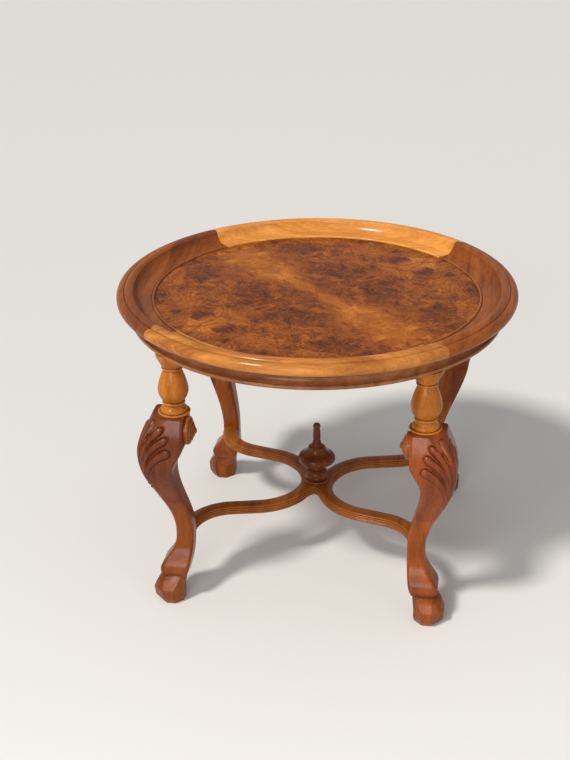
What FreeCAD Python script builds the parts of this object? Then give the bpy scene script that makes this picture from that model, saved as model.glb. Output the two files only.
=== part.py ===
import FreeCAD, Part
import math
import os

V = FreeCAD.Vector

# Round tray top tea table on four cabriole legs, in millimetres.
# +Z is up, the floor is z = 0, and the middle of the table stands on the origin.
# The front of the table faces -Y. Each corner leg points along a diagonal.

# ---------------------------------------------------------------- driving sizes
# The tray top.
table_height = 532.0            # floor to the crest of the tray rim
top_radius = 350.0              # widest point of the rim's big round
rim_depth = 37.5                # thickness of the rim boards
round_width = 13.5              # big round, from its edge in to the groove on its top
rim_groove_depth = 5.2          # groove below the crest
top_bead_width = 16.0           # small top bead, from the groove in to the cove
cove_width = 13.5               # inner cove, from the top bead in to the flat border
border_width = 23.0             # flat border, from the cove in to the opening round the panel
rim_bead_width = 5.0            # small bead round the panel, part of the border
round_underside = 24.0          # underside of the big round, below the crest
recess_inset = 34.0             # shadow recess under the big round, in from its edge
border_drop = 20.5              # outer edge of the flat border, below the crest
border_fall = 1.7               # fall of the border towards the panel
left_board_width = 57.0         # outer board of the left rim quarter, from its edge joint out

panel_drop = 23.5               # tray surface below the crest
panel_gap = 0.5                 # gap between the panel and the rim
veneer_thickness = 0.8
backing_thickness = 0.6

# The moulded ring under the rim, which carries the legs.
ring_depth = 18.5
ring_inset = 23.0               # light bead along the lower edge, in from the tray's edge
ring_width = 65.0               # from the bead in to the ring's opening
ring_bead_height = 6.5
ring_cove_inset = 10.0          # top of the ring's cove, in from the bead

# Fastenings of the top.
joint_dowel_diameter = 8.0
joint_dowel_length = 40.0
low_dowel_inset = 13.0          # dowels under the border: out from the opening
low_dowel_rise = 7.5            # and up from the underside
high_dowel_inset = 25.0         # dowels under the top bead: in from the rim's edge
high_dowel_drop = 15.0          # and down from the crest
ring_dowel_places = (0.28, 0.71)    # across the ring's width
screw_diameter = 4.2
screw_length = 32.0
screw_head_diameter = 8.4
screw_head_height = 3.4
screw_angle = 20.0              # from each leg, round the ring
screw_inset = 60.0              # in from the tray's edge

# The legs. "out" is measured from the leg's turning axis to its two outer faces, and
# "in" from the axis to its two inner faces.
leg_inset = 50.0                # turning axis of each leg, in from the tray's edge
turned_height = 110.0           # turned part, from the top of the knee up to the ring
cone_radius = 27.0              # flare of the turned part under the ring
cone_height = 24.5
cone_edge = 5.0                 # upright edge of the flare
vase_radius = 26.0              # ball of the turned part
vase_centre_rise = 45.0         # fullest point of the ball, above the knee
vase_foot_rise = 22.0           # foot of the ball
vase_neck_radius = 14.8         # top of the ball, under the upper ring
upper_ring_radius = 18.4
turned_ring_radius = 19.5       # lower ring, under the ball
turned_neck_radius = 16.9
collar_radius = 22.7
lip_radius = 27.6
tenon_diameter = 24.0           # turned tenon in the moulded ring
dowel_pin_diameter = 20.0       # turned pin in the cabriole post
dowel_pin_length = 34.0

knee_top_out = 36.0
knee_top_corner_radius = 32.0   # the knee's outer corner rounds off towards its flat top
knee_round_drop = 41.0          # where that starts, below the top of the knee
knee_bulge_drop = 60.0
knee_out = 54.5                 # fullest point of the knee
knee_in = 22.5                  # flat inner faces of the knee
knee_flat_drop = 53.0           # lower end of the flat inner faces
knee_hollow_drop = 98.0
knee_hollow_in = 2.4            # hollow under the inner faces
ankle_z = 131.0
ankle_out = 6.5
ankle_in = 24.3
cuff_top_z = 65.0
cuff_z = 52.5                   # underside of the cuff, over the hoof
cuff_out = 32.0
cuff_in = 14.5
hoof_top_out = 27.5
hoof_top_in = 11.5
hoof_wide_z = 28.0
hoof_out = 45.0
hoof_in = 8.0
hoof_sole_out = 37.0
hoof_sole_in = 6.5
hoof_corner_top = 7.0           # the hoof's corners are cut off by this much at its top
hoof_corner_wide = 18.0         # at its widest
hoof_corner_sole = 16.0         # and at its sole
leg_corner_radius = 6.0
knee_corner_radius = 11.0
glue_plane_out = 24.0           # outer faces of the post, where the knee and foot blocks sit

# Turned rosettes on the two inner faces of each knee.
rosette_radius = 24.5
rosette_height = 18.5           # point of the rosette above the knee's face
rosette_seat = 1.5              # depth let into the face
rosette_drop = 28.0             # middle of the rosette, below the top of the knee
rosette_out = 12.5              # outwards from the leg's axis, along the face

# The stretcher: two sawn bows glued back to back.
bow_top_z = 131.0
bow_thickness = 17.0
bow_width = 28.0
bow_centre_offset = 16.5        # middle of the bow from the glue joint
bow_centre_radius = 101.0
bow_run_heading = 14.0          # degrees from the X axis, between the centre bend and the leg
bow_crotch_radius = 31.0        # outer edge of the thickened middle, where the two bows part
bow_crotch_heading = 35.5       # of that edge at the glue joint, in degrees from the X axis
bow_edge_radius = 5.0           # rounding of the lower edges
bow_crown_half_width = 9.0      # plain crowned band between the reeded edges
bow_crown_drop = 1.2
reed_bulge = 1.1
bow_dowel_diameter = 8.0
bow_dowel_length = 20.0
bow_dowel_spacing = 32.0
leg_dowel_diameter = 8.0
leg_dowel_length = 32.0

# The turned finial on the stretcher.
finial_height = 121.0
finial_seat_radius = 23.5
finial_boss_radius = 21.8
finial_neck_radius = 9.5
finial_disc_radius = 34.5
finial_cup_radius = 15.5        # upper edge of the hollow cone over the disc
finial_spindle_radius = 6.5
finial_tenon_diameter = 12.0
finial_tenon_length = 11.0
finial_screw_diameter = 4.0
finial_screw_length = 30.0

# ---------------------------------------------------------------- derived places
rim_bottom_z = table_height - rim_depth
panel_top_z = table_height - panel_drop
ring_bottom_z = rim_bottom_z - ring_depth
rim_groove_radius = top_radius - round_width
rim_cove_top_radius = rim_groove_radius - top_bead_width
rim_cove_foot_radius = rim_cove_top_radius - cove_width
rim_inner_radius = rim_cove_foot_radius - border_width
recess_radius = top_radius - recess_inset
left_glue_line = top_radius - left_board_width
panel_radius = rim_inner_radius - panel_gap
ring_bead_radius = top_radius - ring_inset
ring_inner_radius = ring_bead_radius - ring_width
ring_cove_radius = ring_bead_radius - ring_cove_inset
core_bottom_z = rim_bottom_z + backing_thickness
core_top_z = panel_top_z - veneer_thickness
leg_axis = (top_radius - leg_inset) / math.sqrt(2)
knee_top_z = ring_bottom_z - turned_height
knee_round_z = knee_top_z - knee_round_drop
knee_bulge_z = knee_top_z - knee_bulge_drop
knee_flat_z = knee_top_z - knee_flat_drop
knee_hollow_z = knee_top_z - knee_hollow_drop
rosette_z = knee_top_z - rosette_drop
finial_seat_z = bow_top_z - 1.0
far = 2 * top_radius

# Each corner's name and the side of the table it stands on.
CORNERS = (("back_right", 1, 1), ("back_left", -1, 1), ("front_left", -1, -1), ("front_right", 1, -1))
MIDDLE = V(0, 0, 0)
UP = V(0, 0, 1)


# ---------------------------------------------------------------- helpers
def blend(a, b, t):
    return a + (b - a) * t


def line(a, b):
    return Part.LineSegment(V(*a), V(*b)).toShape()


def bulge(a, middle, b):
    return Part.Arc(V(*a), V(*middle), V(*b)).toShape()


def outline(start, *steps):
    """A closed face in the XZ plane: each step is a corner (r, z) or an arc (middle, end)."""
    here = start
    edges = []
    for step in steps + (start,):
        if isinstance(step[0], tuple):
            middle, end = step
            edges.append(bulge((here[0], 0, here[1]), (middle[0], 0, middle[1]), (end[0], 0, end[1])))
        else:
            end = step
            edges.append(line((here[0], 0, here[1]), (end[0], 0, end[1])))
        here = end
    return Part.Face(Part.Wire(edges))


def round_end(radius, foot, top):
    """The arc from (radius, foot) to the axis at the top, with its centre on the axis."""
    sphere = (radius ** 2 + (top - foot) ** 2) / (2 * (top - foot))
    half = math.atan2(radius, foot - top + sphere) / 2
    return (sphere * math.sin(half), top - sphere + sphere * math.cos(half)), (0, top)


def turned(face):
    return face.revolve(MIDDLE, UP, 360)


def sector(face, start, end):
    """The profile turned about the table's axis, from one compass angle to another."""
    return face.revolve(MIDDLE, UP, end - start).rotate(MIDDLE, UP, start)


def block(low, high):
    return Part.makeBox(high[0] - low[0], high[1] - low[1], high[2] - low[2], V(*low))


def dowel(middle, direction, diameter, length):
    start = middle - direction * (length / 2)
    return Part.makeCylinder(diameter / 2, length, start, direction)


def moved(shape, offset):
    copy = shape.copy()
    copy.translate(offset)
    return copy


def turned_about_z(shape, angle):
    copy = shape.copy()
    copy.rotate(MIDDLE, UP, angle)
    return copy


def at_corner(shape, side_x, side_y):
    """A piece of the back right corner, mirrored to stand at another corner."""
    if side_x < 0:
        shape = shape.mirror(MIDDLE, V(1, 0, 0))
    if side_y < 0:
        shape = shape.mirror(MIDDLE, V(0, 1, 0))
    return shape


def at_all_corners(shape):
    return [at_corner(shape, side_x, side_y) for _, side_x, side_y in CORNERS]


def joined(pieces):
    return pieces[0].fuse(pieces[1:]) if len(pieces) > 1 else pieces[0]


def save(name, shapes):
    """Writes one node: a solid, or a group of separate solids."""
    solids = [solid for shape in shapes for solid in shape.Solids]
    node = solids[0] if len(solids) == 1 else Part.makeCompound(solids)
    node.exportStep("parts/" + name + ".step")


# ---------------------------------------------------------------- the tray top
def rim_profile():
    crest = table_height
    border_outer = (rim_cove_foot_radius, crest - border_drop)
    bead_outer = rim_inner_radius + rim_bead_width
    bead_foot = crest - border_drop - border_fall - 0.6
    border_inner = (bead_outer + 1.0, crest - border_drop - border_fall)
    cove_top = (rim_cove_top_radius, crest - 3.2)
    cove_middle = (
        rim_cove_foot_radius + 0.62 * (rim_cove_top_radius - rim_cove_foot_radius),
        crest - border_drop + 0.42 * (border_drop - 3.2),
    )
    groove = (rim_groove_radius, crest - rim_groove_depth)
    round_top = (rim_groove_radius + 0.9, crest - rim_groove_depth + 0.9)
    round_foot = (top_radius - 8.5, crest - round_underside)
    recess_top = (recess_radius, crest - round_underside - 5.0)
    return outline(
        (rim_inner_radius, rim_bottom_z),
        (rim_inner_radius, bead_foot),
        (((rim_inner_radius + bead_outer) / 2, bead_foot + rim_bead_width / 2), (bead_outer, bead_foot)),
        border_inner,
        border_outer,
        (cove_middle, cove_top),
        ((rim_cove_top_radius + 0.44 * top_bead_width, crest), groove),
        round_top,
        ((top_radius, crest - 13.0), round_foot),
        ((blend(recess_radius, round_foot[0], 0.47), crest - round_underside - 0.6), recess_top),
        (recess_radius, rim_bottom_z),
    )


def ring_profile():
    bead_top = ring_bottom_z + 1.2 + ring_bead_height
    bead_edge = ring_bead_radius - 2.6
    cove_foot = (ring_bead_radius - 2.0, bead_top + 1.0)
    cove_middle = (ring_cove_radius + 2.6, cove_foot[1] + 3.0)
    return outline(
        (ring_inner_radius, ring_bottom_z),
        (bead_edge - 0.8, ring_bottom_z),
        (bead_edge, ring_bottom_z + 1.2),
        ((ring_bead_radius, ring_bottom_z + 1.2 + ring_bead_height / 2), (bead_edge, bead_top)),
        cove_foot,
        (cove_middle, (ring_cove_radius, rim_bottom_z)),
        (ring_inner_radius, rim_bottom_z),
    )


def circle_dowels(angles, radius, z):
    """Two dowels across each joint, one deeper in the board than the other."""
    pins = []
    for angle in angles:
        turn = math.radians(angle)
        across = V(-math.sin(turn), math.cos(turn), 0)
        place = V(radius * math.cos(turn), radius * math.sin(turn), z)
        pins.append(dowel(place, across, joint_dowel_diameter, joint_dowel_length))
    return pins


def top_screws():
    """Countersunk wood screws, up through the moulded ring into the rim."""
    shank_top = ring_bottom_z + screw_length
    face = outline(
        (0, ring_bottom_z),
        (screw_head_diameter / 2, ring_bottom_z),
        (screw_diameter / 2, ring_bottom_z + screw_head_height),
        (screw_diameter / 2, shank_top - screw_diameter),
        (0, shank_top),
    )
    screw = turned(face)
    screws = []
    for side in (-1, 1):
        angle = 45 + side * screw_angle
        screws += at_all_corners(turned_about_z(moved(screw, V(top_radius - screw_inset, 0, 0)), angle))
    return screws


def make_top():
    corners = (45, 135, 225, 315)
    rim_dowels = circle_dowels(corners, rim_inner_radius + low_dowel_inset, rim_bottom_z + low_dowel_rise)
    rim_dowels += circle_dowels(corners, top_radius - high_dowel_inset, table_height - high_dowel_drop)
    ring_dowels = []
    for place in ring_dowel_places:
        radius = ring_inner_radius + place * ring_width
        ring_dowels += circle_dowels((0, 90, 180, 270), radius, ring_bottom_z + ring_depth / 2)
    screws = top_screws()
    save("rim_joint_dowels", rim_dowels)
    save("ring_joint_dowels", ring_dowels)
    save("top_screws", screws)

    rim_cutters = rim_dowels + screws
    profile = rim_profile()
    for name, start in (("rim_right", -45), ("rim_back", 45), ("rim_front", 225)):
        save(name, [sector(profile, start, start + 90).cut(rim_cutters)])
    left = sector(profile, 135, 225).cut(rim_cutters)
    outer_side = block((-far, -far, 0), (-left_glue_line, far, far))
    save("rim_left_outer_board", [left.common(outer_side)])
    save("rim_left_inner_board", [left.cut(outer_side)])

    ring = ring_profile()
    ring_cutters = ring_dowels + screws + at_all_corners(leg_tenon())
    for name, start in (("back_right", 0), ("back_left", 90), ("front_left", 180), ("front_right", 270)):
        save("moulded_ring_" + name, [sector(ring, start, start + 90).cut(ring_cutters)])

    save("panel_core", [Part.makeCylinder(panel_radius, core_top_z - core_bottom_z, V(0, 0, core_bottom_z))])
    save("panel_backing_veneer", [Part.makeCylinder(panel_radius, backing_thickness, V(0, 0, rim_bottom_z))])
    for name, start in (("right", -45), ("back", 45), ("left", 135), ("front", 225)):
        leaf = Part.makeCylinder(panel_radius, veneer_thickness, V(0, 0, core_top_z), UP, 90)
        save("burl_leaf_" + name, [turned_about_z(leaf, start)])


# ---------------------------------------------------------------- the legs
def ease(t, swing=1.0):
    """An S-curve from 0 to 1, as a bow saw swings from one bend to the next."""
    return (1 - math.cos(math.pi * t ** swing)) / 2


def outer_line(z):
    """Distance from the turning axis out to the leg's outer faces, at a height."""
    if z >= knee_bulge_z:
        t = (knee_top_z - z) / (knee_top_z - knee_bulge_z)
        return blend(knee_top_out, knee_out, math.sin(math.pi / 2 * t))
    if z >= ankle_z:
        t = (knee_bulge_z - z) / (knee_bulge_z - ankle_z)
        return blend(knee_out, ankle_out, ease(t, 1.05))
    if z >= cuff_top_z:
        t = (ankle_z - z) / (ankle_z - cuff_top_z)
        return blend(ankle_out, cuff_out, ease(t, 1.65))
    t = (cuff_top_z - z) / (cuff_top_z - cuff_z)
    return blend(cuff_out, cuff_out - 3.5, t ** 2)


def inner_line(z):
    """Distance from the turning axis in to the leg's inner faces, at a height."""
    if z >= knee_flat_z:
        return knee_in
    if z >= knee_hollow_z:
        t = (knee_flat_z - z) / (knee_flat_z - knee_hollow_z)
        return blend(knee_in, knee_hollow_in, ease(t, 0.8))
    if z >= ankle_z:
        t = (knee_hollow_z - z) / (knee_hollow_z - ankle_z)
        return blend(knee_hollow_in, ankle_in, ease(t))
    t = (ankle_z - z) / (ankle_z - cuff_z)
    return blend(ankle_in, cuff_in, t ** 2.55)


def corner_lines(z):
    """Rounding of the leg's outer corner and of its other three, at a height."""
    t = min(1.0, max(0.0, (z - ankle_z) / (knee_hollow_z - ankle_z)))
    outer = blend(leg_corner_radius, knee_corner_radius, ease(t))
    rounding = max(0.0, (z - knee_round_z) / (knee_top_z - knee_round_z))
    return blend(outer, knee_top_corner_radius, rounding), leg_corner_radius


def rounded_square(out, inn, outer_radius, inner_radius, z):
    """The leg's section: outer faces at +out, inner faces at -inn, all corners rounded."""
    corners = (
        ((out, out), outer_radius, (-1, 0), (0, -1)),
        ((out, -inn), inner_radius, (0, 1), (-1, 0)),
        ((-inn, -inn), inner_radius, (1, 0), (0, 1)),
        ((-inn, out), inner_radius, (0, -1), (1, 0)),
    )
    edges = []
    stops = []
    for (x, y), radius, before, after in corners:
        start = (x + before[0] * radius, y + before[1] * radius, z)
        end = (x + after[0] * radius, y + after[1] * radius, z)
        lean = radius * (1 - math.sqrt(0.5))
        middle = (x + (before[0] + after[0]) * lean, y + (before[1] + after[1]) * lean, z)
        stops.append((start, middle, end))
    for index, (start, middle, end) in enumerate(stops):
        edges.append(bulge(start, middle, end))
        edges.append(line(end, stops[(index + 1) % 4][0]))
    return Part.Wire(edges)


def hoof_section(out, inn, chamfer, z):
    """The hoof's section: a square with its corners cut off."""
    inner_cut = 0.85 * chamfer
    points = [
        (out - chamfer, out), (out, out - chamfer),
        (out, inner_cut - inn), (out - inner_cut, -inn),
        (inner_cut - inn, -inn), (-inn, inner_cut - inn),
        (-inn, out - inner_cut), (inner_cut - inn, out),
    ]
    corners = [V(x, y, z) for x, y in points]
    return Part.makePolygon(corners + corners[:1])


def stations(low, high, count):
    return [blend(low, high, index / count) for index in range(count + 1)]


def sawn_stretches():
    """The sawn leg as solids from bend to bend, foot to knee, with its axis on the Z axis."""
    bends = (
        (cuff_z, cuff_top_z, 3), (cuff_top_z, ankle_z, 6), (ankle_z, knee_hollow_z, 8),
        (knee_hollow_z, knee_flat_z, 5), (knee_flat_z, knee_round_z, 2), (knee_round_z, knee_top_z, 6),
    )
    stretches = []
    for low, high, count in bends:
        wires = []
        for z in stations(low, high, count):
            outer_corner, inner_corner = corner_lines(z)
            wires.append(rounded_square(outer_line(z), inner_line(z), outer_corner, inner_corner, z))
        stretches.append(Part.makeLoft(wires, True, False))
    return stretches


def hoof_body():
    middle_z = (cuff_z + hoof_wide_z) / 2
    middle_out = blend(hoof_top_out, hoof_out, 0.62)
    middle_in = blend(hoof_top_in, hoof_in, 0.5)
    middle_corner = blend(hoof_corner_top, hoof_corner_wide, 0.55)
    low_z = 0.35 * hoof_wide_z
    wires = [
        hoof_section(hoof_top_out, hoof_top_in, hoof_corner_top, cuff_z),
        hoof_section(middle_out, middle_in, middle_corner, middle_z),
        hoof_section(hoof_out, hoof_in, hoof_corner_wide, hoof_wide_z),
        hoof_section(blend(hoof_sole_out, hoof_out, 0.8), hoof_in, hoof_corner_wide, low_z),
        hoof_section(hoof_sole_out, hoof_sole_in, hoof_corner_sole, 0),
    ]
    return Part.makeLoft(wires, True, False)


def leg_tenon():
    """The turned tenon of the back right leg, as it stands in the moulded ring."""
    return Part.makeCylinder(tenon_diameter / 2, ring_depth, V(leg_axis, leg_axis, ring_bottom_z))


def turned_top():
    """The turned vase, from the pin in the knee up to the tenon in the ring, axis on Z."""
    lip = knee_top_z
    cone_foot = ring_bottom_z - cone_height
    vase_top = cone_foot - 5.0
    vase_centre = lip + vase_centre_rise
    vase_foot = lip + vase_foot_rise
    ring_foot = vase_foot - 4.5
    tenon_top = rim_bottom_z
    face = outline(
        (0, lip - dowel_pin_length),
        (dowel_pin_diameter / 2, lip - dowel_pin_length),
        (dowel_pin_diameter / 2, lip),
        (lip_radius - 1.0, lip),
        ((lip_radius, lip + 1.4), (lip_radius - 1.0, lip + 2.8)),
        (collar_radius + 0.5, lip + 3.2),
        ((collar_radius, lip + 6.0), (collar_radius - 1.4, lip + 9.0)),
        ((turned_neck_radius + 0.7, blend(lip + 9.0, ring_foot, 0.5)), (turned_neck_radius, ring_foot)),
        (turned_ring_radius - 0.8, ring_foot),
        ((turned_ring_radius, ring_foot + 1.6), (turned_ring_radius - 0.8, ring_foot + 3.2)),
        (turned_neck_radius + 0.2, vase_foot),
        ((vase_radius * 0.935, (vase_foot + vase_centre) / 2), (vase_radius, vase_centre)),
        ((vase_radius * 0.862, blend(vase_centre, vase_top, 0.45)), (vase_neck_radius, vase_top)),
        (upper_ring_radius - 0.8, vase_top + 0.8),
        ((upper_ring_radius, vase_top + 2.4), (upper_ring_radius - 0.8, vase_top + 4.0)),
        (turned_neck_radius + 0.2, cone_foot),
        (
            (blend(turned_neck_radius, cone_radius, 0.4), cone_foot + 0.29 * cone_height),
            (cone_radius, ring_bottom_z - cone_edge),
        ),
        (cone_radius, ring_bottom_z),
        (tenon_diameter / 2, ring_bottom_z),
        (tenon_diameter / 2, tenon_top),
        (0, tenon_top),
    )
    return turned(face)


def rosette():
    """A turned rosette with its back at z = -seat and its point up, for the knee's inner face."""
    radius = rosette_radius
    height = rosette_height
    face = outline(
        (0, -rosette_seat),
        (radius, -rosette_seat),
        (radius, 0.20 * height),
        ((radius - 0.8, 0.36 * height), (radius * 0.86, 0.42 * height)),
        (radius * 0.80, 0.36 * height),
        ((radius * 0.74, 0.54 * height), (radius * 0.60, 0.60 * height)),
        (radius * 0.55, 0.53 * height),
        ((radius * 0.48, 0.71 * height), (radius * 0.34, 0.76 * height)),
        (radius * 0.30, 0.70 * height),
        round_end(radius * 0.30, 0.70 * height, height),
    )
    return turned(face)


def knee_rosettes():
    """The two rosettes of the back right leg, on its inner X face and its inner Y face."""
    flat = rosette()
    on_x = flat.copy()
    on_x.rotate(MIDDLE, V(0, 1, 0), -90)
    on_y = flat.copy()
    on_y.rotate(MIDDLE, V(1, 0, 0), 90)
    along_x = leg_axis + rosette_out
    face = leg_axis - knee_in
    return moved(on_x, V(face, along_x, rosette_z)), moved(on_y, V(along_x, face, rosette_z))


def make_legs(bow_pin):
    base = V(leg_axis, leg_axis, 0)
    glue = glue_plane_out
    rosette_a, rosette_b = knee_rosettes()
    pin_foot = base + UP * (knee_top_z - dowel_pin_length)
    pin = Part.makeCylinder(dowel_pin_diameter / 2, dowel_pin_length, pin_foot)
    stretches = sawn_stretches()
    foot = [hoof_body()] + stretches[:2]
    knee = stretches[2:]

    def blocked(pieces, low, high, cutters):
        cell = block(low, high)
        piece = moved(joined([piece.common(cell) for piece in pieces]), base)
        return piece.cut(cutters)

    side = ((glue, -far, -far), (far, far, far))
    face = ((-far, glue, -far), (glue, far, far))
    core = ((-far, -far, -far), (glue, glue, far))
    post = blocked(foot + knee, core[0], core[1], [rosette_a, rosette_b, pin, bow_pin])
    pieces = {
        "post": post,
        "knee_side_block": blocked(knee, side[0], side[1], [rosette_b]),
        "knee_face_block": blocked(knee, face[0], face[1], [rosette_a]),
        "foot_side_block": blocked(foot, side[0], side[1], []),
        "foot_face_block": blocked(foot, face[0], face[1], []),
        "turned_top": moved(turned_top(), base),
        "rosette_a": rosette_a,
        "rosette_b": rosette_b,
    }
    for corner, side_x, side_y in CORNERS:
        for kind, shape in pieces.items():
            save("leg_" + corner + "_" + kind, [at_corner(shape, side_x, side_y)])
    return post


# ---------------------------------------------------------------- the stretcher
def reed_steps():
    """The three beads of the bow's reeded edge, from the outside in, as arcs (middle, end)."""
    half = bow_width / 2
    inner = bow_crown_half_width
    stops = (
        (half - 0.8, bow_top_z - 10.4), (half - 1.3, bow_top_z - 7.2),
        (blend(inner, half, 0.46), bow_top_z - 4.0), (inner, bow_top_z - bow_crown_drop),
    )
    steps = []
    for (r, z), (next_r, next_z) in zip(stops, stops[1:]):
        length = math.hypot(next_r - r, next_z - z)
        out = reed_bulge / length
        middle = ((r + next_r) / 2 + (next_z - z) * out, (z + next_z) / 2 + (r - next_r) * out)
        steps.append((middle, (next_r, next_z)))
    return stops[0], steps


def half_bow_section():
    """Half of a bow's section: the crown's middle at r = 0, the reeded edge at half the width."""
    half = bow_width / 2
    foot = bow_top_z - bow_thickness
    soft = bow_edge_radius
    lean = soft * (1 - math.sqrt(0.5))
    first_groove, reeds = reed_steps()
    inner = bow_crown_half_width
    crown_radius = (inner ** 2 + bow_crown_drop ** 2) / (2 * bow_crown_drop)
    lift = bow_top_z - crown_radius + math.sqrt(crown_radius ** 2 - inner ** 2 / 4)
    return outline(
        (0, foot),
        (half - soft, foot),
        ((half - lean, foot + lean), (half, foot + soft)),
        (half, first_groove[1] - 0.8),
        first_groove,
        *reeds,
        ((inner / 2, lift), (0, bow_top_z)),
    )


def heading_way(heading):
    return V(math.cos(heading), math.sin(heading), 0)


def bow_places():
    """The bow's bends and run in plan, towards the back right leg, in the XY plane.

    The centre bend turns from heading 90 degrees at the glue joint to the run's heading, the
    leg bend turns back to 90 degrees, and the run and the leg bend take up what is left.
    """
    run = math.radians(bow_run_heading)
    leg_x = leg_axis - (ankle_in - ankle_out) / 2
    leg_y = leg_axis - inner_line(bow_top_z - bow_thickness / 2) + 2.0
    centre = V(bow_centre_offset + bow_centre_radius, 0, 0)
    run_start = centre + V(-math.sin(run), math.cos(run), 0) * bow_centre_radius
    left_x = leg_x - run_start.x
    left_y = leg_y - run_start.y
    short = 1 - math.sin(run)
    run_length = (left_x * math.cos(run) - left_y * short) / short
    leg_radius = (left_y * math.cos(run) - left_x * math.sin(run)) / short
    run_end = run_start + heading_way(run) * run_length
    leg_centre = run_end + V(-math.sin(run), math.cos(run), 0) * leg_radius
    return centre, run_start, run_length, run_end, leg_centre


def crotch():
    """Centre of the thickened middle's outer edge, and the angle at which it meets the bow."""
    apex = math.radians(bow_crotch_heading)
    radius = bow_crotch_radius
    x = -radius * math.sin(apex)
    reach = bow_centre_radius + bow_width / 2 + radius
    across = bow_centre_offset + bow_centre_radius - x
    y = math.sqrt(reach ** 2 - across ** 2)
    return V(x, y, 0), math.atan2(y, across)


def make_bow():
    """The right bow, whole, before its holes are bored."""
    outer = half_bow_section().mirror(MIDDLE, V(1, 0, 0))
    inner = half_bow_section()
    foot = bow_top_z - bow_thickness
    centre, run_start, run_length, run_end, leg_centre = bow_places()
    crotch_centre, meeting = crotch()
    run = math.radians(bow_run_heading)
    spread = math.degrees(math.pi / 2 - run - meeting)

    def across_path(face, place, heading):
        copy = face.copy()
        copy.rotate(MIDDLE, UP, math.degrees(heading) - 90)
        copy.translate(place)
        return copy

    start = V(bow_centre_offset, 0, 0)
    way = heading_way(math.pi / 2 - meeting)
    meeting_place = centre + V(-way.y, way.x, 0) * bow_centre_radius
    pieces = [across_path(inner, start, math.pi / 2).revolve(centre, UP, -math.degrees(meeting))]
    for face in (inner, outer):
        bend = across_path(face, meeting_place, math.pi / 2 - meeting)
        pieces.append(bend.revolve(centre, UP, -spread))
        straight = across_path(face, run_start, run)
        pieces.append(straight.extrude(heading_way(run) * run_length))
        leg_bend = across_path(face, run_end, run)
        pieces.append(leg_bend.revolve(leg_centre, UP, 90 - bow_run_heading))

    # The thickened middle: its reeded edge turns inwards to the glue joint, and a flat
    # filling lies between that edge, the joint and the bow's centreline.
    crotch_edge = across_path(outer, meeting_place, math.pi / 2 - meeting)
    pieces.append(crotch_edge.revolve(crotch_centre, UP, math.degrees(meeting) - 90))
    reach = bow_crotch_radius + bow_width / 2
    joint_angle = -math.acos(-crotch_centre.x / reach)
    joint_end = crotch_centre + heading_way(joint_angle) * reach
    crotch_middle = crotch_centre + heading_way((joint_angle - meeting) / 2) * reach
    bend_middle = centre - heading_way(-meeting / 2) * bow_centre_radius
    filling = Part.Face(Part.Wire([
        line((0, 0, 0), start),
        bulge(start, bend_middle, meeting_place),
        bulge(meeting_place, crotch_middle, joint_end),
        line(joint_end, (0, 0, 0)),
    ]))
    pieces.append(moved(filling.extrude(UP * bow_thickness), UP * foot))
    half = pieces[0].fuse(pieces[1:])
    return half.fuse(half.mirror(MIDDLE, V(0, 1, 0))).removeSplitter()


def finial():
    """The turned finial with its tenon below and its screw hole, axis on Z."""
    def up(part):
        return seat + part * finial_height

    seat = finial_seat_z
    neck = finial_neck_radius
    disc = finial_disc_radius
    spindle = finial_spindle_radius
    boss = finial_boss_radius
    top = seat + finial_height
    hole = finial_screw_diameter / 2
    hole_top = bow_top_z - bow_thickness + finial_screw_length
    face = outline(
        (0, hole_top),
        (hole, hole_top - 2 * hole),
        (hole, seat - finial_tenon_length),
        (finial_tenon_diameter / 2, seat - finial_tenon_length),
        (finial_tenon_diameter / 2, seat),
        (finial_seat_radius - 0.8, seat),
        ((finial_seat_radius, up(0.025)), (finial_seat_radius - 0.8, up(0.048))),
        (boss - 2.4, up(0.055)),
        ((boss, up(0.116)), (boss - 5.6, up(0.207))),
        ((neck, up(0.264)), (neck + 4.5, up(0.318))),
        (disc - 4.0, up(0.343)),
        ((disc, up(0.401)), (disc - 3.0, up(0.459))),
        (disc - 4.6, up(0.469)),
        ((disc * 0.62, up(0.508)), (finial_cup_radius, up(0.599))),
        (finial_cup_radius - 1.4, up(0.607)),
        ((finial_cup_radius * 0.63, up(0.640)), (spindle + 0.8, up(0.694))),
        (spindle, up(0.702)),
        ((spindle + 0.5, up(0.793)), (spindle - 1.0, up(0.926))),
        (spindle + 0.3, up(0.931)),
        (spindle + 0.3, up(0.962)),
        round_end(spindle + 0.3, up(0.962), top),
    )
    return turned(face)


def finial_screw():
    """A countersunk screw up through the stretcher into the finial's tenon."""
    foot = bow_top_z - bow_thickness
    radius = finial_screw_diameter / 2
    tip = foot + finial_screw_length
    face = outline(
        (0, foot), (2 * radius, foot), (radius, foot + 2 * radius),
        (radius, tip - 2 * radius), (0, tip),
    )
    return turned(face)


def leg_dowel():
    """The dowel between the back right leg and its bow, lying along Y."""
    face_y = leg_axis - inner_line(bow_top_z - bow_thickness / 2)
    middle = V(leg_axis - (ankle_in - ankle_out) / 2, face_y, bow_top_z - bow_thickness / 2 - 1.0)
    return dowel(middle, V(0, 1, 0), leg_dowel_diameter, leg_dowel_length)


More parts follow.
